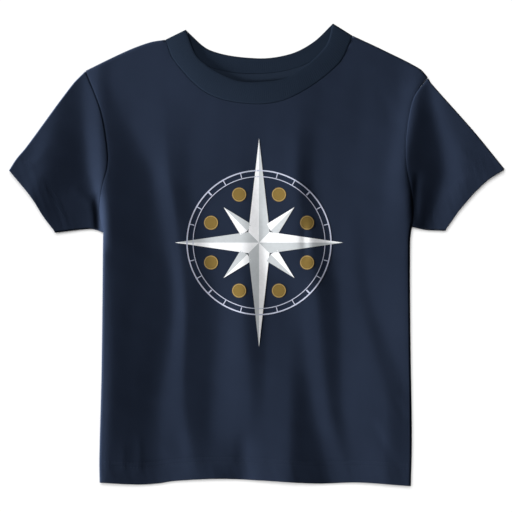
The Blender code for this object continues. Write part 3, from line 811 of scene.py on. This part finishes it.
def build_stitches(material):
    """The twin rows of coverstitching along the hems, one piece for each garment piece."""
    made = []
    jobs = (
        ("hem_stitches", HEM, 1.0, HEM_THREAD, HEM_LIFT),
        ("sleeve_stitches_left", CUFF_LEFT, 1.0, CUFF_THREAD, CUFF_LIFT),
        ("sleeve_stitches_right", CUFF_RIGHT, -1.0, CUFF_THREAD, CUFF_LIFT),
    )
    for name, edge, side, radius, raised in jobs:
        stitches = []
        for line in STITCH_LINES:
            curve = shifted(curve_through(edge), line * side)
            margin = STITCH_MARGIN / length_of(curve)
            inner = along(curve, np.linspace(margin, 1 - margin, STITCH_LINE_STEPS))
            stitch_row(inner, radius, raised, stitches)
        made.append(make_piece(name, *joined_stitches(stitches), material, "jersey", 0))
    return made


# Knit in metres: the width of a column of stitches and the height of a row
Knit = namedtuple("Knit", "wale course")
FACE_KNIT = Knit(0.00095, 0.00078)
INSIDE_KNIT = Knit(0.0016, 0.0006)
THREAD_TWIST = Knit(0.0004, 0.0003)

# The shape of one stitch, as shares of its size
KNIT_LEAN = 1.1
KNIT_BODY = 0.6
KNIT_LOOP = 0.32
KNIT_GROOVE_POWER = 4.0

# The cloth's relief and its depth in metres, and the scale and detail of its fuzz and dye noise
JERSEY_BUMP = 0.3
RIB_BUMP = 0.25
THREAD_BUMP = 0.15
KNIT_RELIEF = 0.00018
FUZZ_NOISE = (900.0, 3.0)
FUZZ_HEIGHT = 0.9
DYE_NOISE = (60.0, 4.0)
DYE_SHARE = 0.45
MOTTLE = 0.1

# The painted shade of upright sides, darkened so the raking light doesn't bleach them, by how much of a
# face's normal points up
UPRIGHT_FULL = 0.1
UPRIGHT_NONE = 0.6
UPRIGHT_PAINTED_SHADE = 0.3

# Ink lies thinly over the knit and is worn a little
INK_BUMP = 0.2
INK_RELIEF = 0.0001
WEAR_NOISE = (420.0, 3.0)
WEAR = 0.16

# Values of the shader's own sockets
CLOTH_SURFACE = {
    "Roughness": 0.92,
    "Specular IOR Level": 0.0,
    "Sheen Weight": 0.012,
    "Sheen Roughness": 0.45,
    "Sheen Tint": (0.62, 0.68, 0.85, 1.0),
}
INK_SURFACE = {"Roughness": 0.7, "Specular IOR Level": 0.0}
FLOOR_SURFACE = {"Base Color": (0.9, 0.9, 0.9, 1.0), "Roughness": 1.0, "Specular IOR Level": 0.0}

# Linear colours of cloth, thread and ink
NAVY = (0.0170, 0.0244, 0.0438)
RIB_NAVY = (0.0157, 0.0242, 0.0410)
TAPE_NAVY = (0.0195, 0.0292, 0.0485)
THREAD_NAVY = (0.0255, 0.0350, 0.0590)
INK_WHITE = (0.93, 0.94, 0.96)
INK_GREY = (0.55, 0.58, 0.60)
INK_LINE = (0.50, 0.53, 0.66)
INK_GOLD = (0.226, 0.150, 0.043)
INK_GOLD_RIM = (0.36, 0.25, 0.09)


class Nodes:
    """Short calls for building a material's nodes."""

    def __init__(self, name):
        self.material = bpy.data.materials.new(name)
        self.material.use_nodes = True
        self.tree = self.material.node_tree
        self.shader = self.tree.nodes["Principled BSDF"]

    def add(self, kind, **settings):
        node = self.tree.nodes.new(kind)
        for key, value in settings.items():
            setattr(node, key, value)
        return node

    def link(self, out, into):
        self.tree.links.new(out, into)

    def math(self, operation, *values):
        node = self.add("ShaderNodeMath", operation=operation)
        for socket, value in zip(node.inputs, values):
            if isinstance(value, (int, float)):
                socket.default_value = value
            else:
                self.link(value, socket)
        return node.outputs[0]

    def mapped(self, name):
        return self.add("ShaderNodeTexCoord").outputs[name]

    def split(self, vector):
        node = self.add("ShaderNodeSeparateXYZ")
        self.link(vector, node.inputs[0])
        return list(node.outputs)

    def noise(self, place, scale, detail):
        node = self.add("ShaderNodeTexNoise")
        node.inputs["Scale"].default_value = scale
        node.inputs["Detail"].default_value = detail
        self.link(place, node.inputs["Vector"])
        return node.outputs["Fac"]

    def emboss(self, height, strength, depth):
        """Lets the light see this height as relief."""
        raised = self.add("ShaderNodeBump")
        raised.inputs["Strength"].default_value = strength
        raised.inputs["Distance"].default_value = depth
        self.link(height, raised.inputs["Height"])
        self.link(raised.outputs[0], self.shader.inputs["Normal"])

    def paint(self, colour, shade):
        """Colours the surface, multiplied by a shade."""
        tint = self.add("ShaderNodeMix", data_type="RGBA", blend_type="MULTIPLY")
        tint.inputs["Factor"].default_value = 1.0
        tint.inputs[6].default_value = (*colour, 1.0)
        grey = self.add("ShaderNodeCombineColor")
        for channel in range(3):
            self.link(shade, grey.inputs[channel])
        self.link(grey.outputs[0], tint.inputs[7])
        self.link(tint.outputs[2], self.shader.inputs["Base Color"])

    def finish(self, surface):
        for name, value in surface.items():
            self.shader.inputs[name].default_value = value
        return self.material


def knit_height(nodes, across, up, knit):
    """Columns of V-shaped stitches: the height of a jersey face at (across, up)."""
    column = nodes.math("FRACT", nodes.math("DIVIDE", across, knit.wale))
    off = nodes.math("ABSOLUTE", nodes.math("SUBTRACT", column, 0.5))
    lean = nodes.math("MULTIPLY", off, KNIT_LEAN)
    row = nodes.math("ADD", nodes.math("DIVIDE", up, knit.course), lean)
    loop = nodes.math("SINE", nodes.math("MULTIPLY", row, 2 * math.pi))
    edge = nodes.math("POWER", nodes.math("MULTIPLY", off, 2.0), KNIT_GROOVE_POWER)
    body = nodes.math("ADD", nodes.math("MULTIPLY", loop, KNIT_LOOP), KNIT_BODY)
    return nodes.math("MULTIPLY", body, nodes.math("SUBTRACT", 1.0, edge))


def painted_upright_shade(nodes):
    """Painted shade: 1 on faces that lie flat, and less on the cloth's upright sides, which the raking light
    would bleach.
    """
    facing = nodes.math("ABSOLUTE", nodes.split(nodes.mapped("Normal"))[2])
    side = nodes.add("ShaderNodeMapRange", interpolation_type="SMOOTHSTEP")
    side.inputs["From Min"].default_value = UPRIGHT_FULL
    side.inputs["From Max"].default_value = UPRIGHT_NONE
    side.inputs["To Min"].default_value = UPRIGHT_PAINTED_SHADE
    nodes.link(facing, side.inputs["Value"])
    return side.outputs[0]


def cloth_material(name, colour, knit=FACE_KNIT, bump=JERSEY_BUMP, turn=0.0):
    """Knitted cotton: stitches, fuzz, slight unevenness of the dye, and a painted shade on upright sides."""
    nodes = Nodes(name)
    place = nodes.mapped("Object")
    turned = nodes.add("ShaderNodeVectorRotate", rotation_type="Z_AXIS")
    turned.inputs["Angle"].default_value = turn
    nodes.link(place, turned.inputs["Vector"])
    across, up, _ = nodes.split(turned.outputs[0])
    fuzz = nodes.noise(place, *FUZZ_NOISE)
    stitches = knit_height(nodes, across, up, knit)
    nodes.emboss(nodes.math("ADD", stitches, nodes.math("MULTIPLY", fuzz, FUZZ_HEIGHT)), bump, KNIT_RELIEF)
    coarse = nodes.math("MULTIPLY", nodes.noise(place, *DYE_NOISE), DYE_SHARE)
    mottle = nodes.math("ADD", coarse, nodes.math("MULTIPLY", fuzz, 1 - DYE_SHARE))
    shade = nodes.math("MULTIPLY", nodes.math("SUBTRACT", mottle, 0.5), 2 * MOTTLE)
    # The dye's mottle, times the painted shade that darkens upright sides
    nodes.paint(colour, nodes.math("MULTIPLY", nodes.math("ADD", shade, 1.0), painted_upright_shade(nodes)))
    return nodes.finish(CLOTH_SURFACE)


def ink_material(name, colour):
    """Screen-print ink, which takes up a little of the cloth's grain and is slightly uneven."""
    nodes = Nodes(name)
    place = nodes.mapped("Object")
    across, up, _ = nodes.split(place)
    nodes.emboss(knit_height(nodes, across, up, FACE_KNIT), INK_BUMP, INK_RELIEF)
    worn = nodes.math("MULTIPLY", nodes.noise(place, *WEAR_NOISE), WEAR)
    nodes.paint(colour, nodes.math("ADD", worn, 1 - WEAR / 2))
    return nodes.finish(INK_SURFACE)


# The print is a film of ink, cut until no edge is longer than this
PRINT_LIFT = 0.12
PRINT_EDGE = 3.2
PRINT_CUTS = 7

# The rose: its middle on the shirt, and lengths from there and widths in millimetres
ROSE = (2.0, 12.0)
ROSE_TIPS = (104.0, 84.0, 104.0, 84.0)
ROSE_WAIST = 15.0
SMALL_TIP = 50.0
SMALL_WAIST = 20.0
SMALL_BASE = 16.5
ROSE_RINGS = ((72.0, 1.3), (66.0, 0.8))
RING_STEPS = 96
TICKS = 24
TICK_END = 71.5
TICK_START = 66.5
ODD_TICK_START = 67.0
TICK_WIDTH = 1.5
THIN_TICK_WIDTH = 0.9
DISCS = 8
DISC_ORBIT = 52.0
DISC_RADIUS = 5.6
DISC_RIM_RADIUS = 6.4
DISC_RIM_WIDTH = 1.2
DISC_STEPS = 40


def circle(centre, radius, steps):
    angles = np.arange(steps) * 2 * math.pi / steps
    return np.add(centre, radius * np.stack([np.cos(angles), np.sin(angles)], axis=1))


def strip(points, width):
    """A closed outline round an open line of this width."""
    line = np.array(points, float)
    return np.vstack([shifted(line, width / 2), shifted(line, -width / 2)[::-1]])


def ring_strip(centre, radius, width, steps):
    """Quads of a thin printed ring."""
    inner = circle(centre, radius - width / 2, steps)
    outer = circle(centre, radius + width / 2, steps)
    return list(np.stack([inner, outer, np.roll(outer, -1, axis=0), np.roll(inner, -1, axis=0)], axis=1))


def build_print(name, shapes, material):
    """A film of ink on the front, from flat shapes cut fine enough to follow the folds."""
    bm = bmesh.new()
    for shape in shapes:
        bm.faces.new([bm.verts.new((x, y, 0.0)) for x, y in shape])
    bmesh.ops.triangulate(bm, faces=bm.faces)
    for _ in range(PRINT_CUTS):
        long_edges = [edge for edge in bm.edges if edge.calc_length() > PRINT_EDGE]
        if not long_edges:
            break
        bmesh.ops.subdivide_edges(bm, edges=long_edges, cuts=1)
        bmesh.ops.triangulate(bm, faces=[face for face in bm.faces if len(face.verts) > 3])
    bmesh.ops.recalc_face_normals(bm, faces=bm.faces)
    heights = front_top(np.array([vert.co[:2] for vert in bm.verts]))
    for vert, height in zip(bm.verts, heights):
        vert.co = Vector((vert.co.x, vert.co.y, height + PRINT_LIFT)) * MM
    bmesh.ops.reverse_faces(bm, faces=[face for face in bm.faces if face.normal.z < 0])
    mesh = bpy.data.meshes.new(name)
    bm.to_mesh(mesh)
    bm.free()
    return add_piece(name, mesh, material)


def polar(radius, degrees):
    """A place on the rose: its distance from the middle, and its bearing clockwise from the top."""
    angle = math.radians(degrees)
    return (ROSE[0] + radius * math.sin(angle), ROSE[1] + radius * math.cos(angle))


def rose_points():
    """The eight points, each split into a white half and a grey one."""
    white, grey = [], []
    for turn, tip in enumerate(ROSE_TIPS):
        main = 90.0 * turn
        white.append([ROSE, polar(ROSE_WAIST, main - 45), polar(tip, main)])
        grey.append([ROSE, polar(tip, main), polar(ROSE_WAIST, main + 45)])
        half = main + 45
        white.append([polar(SMALL_BASE, half), polar(SMALL_WAIST, half - 22.5), polar(SMALL_TIP, half)])
        grey.append([polar(SMALL_BASE, half), polar(SMALL_TIP, half), polar(SMALL_WAIST, half + 22.5)])
    return white, grey


def rose_lines():
    """Two thin rings, with ticks between them wherever there is no main point."""
    lines = []
    for radius, width in ROSE_RINGS:
        lines += ring_strip(ROSE, radius, width, RING_STEPS)
    for tick in range(TICKS):
        if tick % (TICKS // 4) == 0:
            continue
        bearing = tick * 360 / TICKS
        start = polar(ODD_TICK_START if tick % 2 else TICK_START, bearing)
        width = THIN_TICK_WIDTH if tick % 3 else TICK_WIDTH
        lines.append(strip([start, polar(TICK_END, bearing)], width))
    return lines


def rose_discs():
    """Flat gold discs between the points, each with a paler rim."""
    gold, rims = [], []
    for disc in range(DISCS):
        centre = polar(DISC_ORBIT, (disc + 0.5) * 360 / DISCS)
        gold.append(circle(centre, DISC_RADIUS, DISC_STEPS))
        rims += ring_strip(centre, DISC_RIM_RADIUS, DISC_RIM_WIDTH, DISC_STEPS)
    return gold, rims


jersey = cloth_material("navy_jersey", NAVY)
sleeve_jerseys = [
    cloth_material(f"navy_jersey_{sleeve.side}_sleeve", NAVY, turn=math.radians(sleeve.knit_degrees))
    for sleeve in SLEEVES
]
inside_jersey = cloth_material("navy_jersey_inside", NAVY, INSIDE_KNIT)
rib = cloth_material("navy_rib", RIB_NAVY, bump=RIB_BUMP)
tape = cloth_material("navy_tape", TAPE_NAVY, bump=RIB_BUMP)
thread = cloth_material("navy_thread", THREAD_NAVY, THREAD_TWIST, THREAD_BUMP)

front = build_front(jersey)
back = build_back(inside_jersey)
left_sleeve, right_sleeve = map(build_sleeve, SLEEVES, sleeve_jerseys)
neckband = build_neckband(rib)
binding = build_tape(tape)
hem_stitches, left_stitches, right_stitches = build_stitches(thread)

white, grey = rose_points()
gold, rims = rose_discs()
prints = [
    build_print("print_white", white, ink_material("ink_white", INK_WHITE)),
    build_print("print_grey", grey, ink_material("ink_grey", INK_GREY)),
    build_print("print_lines", rose_lines(), ink_material("ink_line", INK_LINE)),
    build_print("print_gold", gold, ink_material("ink_gold", INK_GOLD)),
    build_print("print_gold_rims", rims, ink_material("ink_gold_rim", INK_GOLD_RIM)),
]

# From here on, sizes are in metres, angles in degrees, and strengths in Blender's units
FLOOR_HALF_WIDTH = 14.0
FLOOR_DROP = 0.0006
ROOM_LIGHT = 0.04
FILL_FROM = Vector((-0.35, 0.5, 0.6))
FILL_TO = Vector((-0.088, 0.175, 0.0))
FILL_ENERGY = 12.0
FILL_CONE = 15.5
FILL_RADIUS = 0.08

# The camera sees a field this wide at the shirt's mid height, the photo's whole width
FIELD = 0.512
DISTANCE = 1.25
FIELD_MIDDLE = Vector((-0.001, -0.0014, 0.004))
SENSOR = 36.0


def build_floor():
    """A pale floor, wide enough for any view."""
    mesh = bpy.data.meshes.new("floor")
    bm = bmesh.new()
    bmesh.ops.create_grid(bm, x_segments=8, y_segments=8, size=FLOOR_HALF_WIDTH)
    bm.to_mesh(mesh)
    bm.free()
    mesh.materials.append(Nodes("pale_floor").finish(FLOOR_SURFACE))
    floor = show("floor", mesh)
    floor.location.z = -FLOOR_DROP
    floor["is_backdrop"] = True
    return floor


def build_room():
    """An even white glow from all round."""
    world = bpy.data.worlds.new("soft_room")
    world.use_nodes = True
    glow = world.node_tree.nodes["Background"]
    glow.inputs["Color"].default_value = (1.0, 1.0, 1.0, 1.0)
    glow.inputs["Strength"].default_value = ROOM_LIGHT
    bpy.context.scene.world = world


def aim(holder, direction):
    holder.rotation_mode = "QUATERNION"
    holder.rotation_quaternion = direction.to_track_quat("-Z", "Y")


def sun(name, elevation, azimuth, strength, softness):
    """A broad soft light; azimuth 0 comes from the photo's left, and 90 from its top."""
    light = bpy.data.lights.new(name, "SUN")
    light.energy = strength
    light.angle = math.radians(softness)
    holder = show(name, light)
    height, turn = math.radians(elevation), math.radians(azimuth)
    level = math.cos(height)
    aim(holder, Vector((level * math.cos(turn), -level * math.sin(turn), -math.sin(height))))
    return holder


def build_fill():
    """A weak soft spot on the top left of the front."""
    light = bpy.data.lights.new("top_left_fill", "SPOT")
    light.energy = FILL_ENERGY
    light.spot_size = math.radians(FILL_CONE)
    light.spot_blend = 1.0
    light.shadow_soft_size = FILL_RADIUS
    holder = show("top_left_fill", light)
    holder.location = FILL_FROM
    aim(holder, FILL_TO - FILL_FROM)
    return holder


def shine_on(name, lights, receivers):
    """Lets lights shine on these objects and no others, as flags on a real stand would."""
    lit = bpy.data.collections.new(name)
    for receiver in receivers:
        lit.objects.link(receiver)
    for light in lights:
        light.light_linking.receiver_collection = lit


def build_camera():
    """A camera straight above the shirt, whose picture is as wide as the field."""
    lens = bpy.data.cameras.new("camera")
    lens.sensor_width = SENSOR
    lens.lens = SENSOR * DISTANCE / FIELD
    camera = show("camera", lens)
    camera.location = FIELD_MIDDLE + Vector((0.0, 0.0, DISTANCE))
    bpy.context.scene.camera = camera
    bpy.context.scene.view_settings.view_transform = "Standard"


floor = build_floor()
build_room()
key = sun("key", elevation=6.0, azimuth=8.0, strength=27.0, softness=9.0)
neck_key = sun("neck_key", elevation=12.0, azimuth=-18.0, strength=8.5, softness=25.0)
neck_top = sun("neck_top", elevation=80.0, azimuth=0.0, strength=0.7, softness=60.0)
fill = build_fill()
wash = sun("floor_wash", elevation=70.0, azimuth=60.0, strength=3.7, softness=60.0)

# The neckband, tape and back have the softer neck lights, and the fill leaves the sleeves out
neck_pieces = (neckband, binding, back)
sleeve_pieces = (left_sleeve, right_sleeve, left_stitches, right_stitches)
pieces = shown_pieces()
shine_on("lit_by_key", [key], [piece for piece in pieces if piece not in neck_pieces])
shine_on("lit_by_neck_key", [neck_key, neck_top], neck_pieces)
shine_on("lit_by_fill", [fill], [piece for piece in pieces if piece not in sleeve_pieces])
shine_on("lit_by_wash", [wash], [floor])
build_camera()
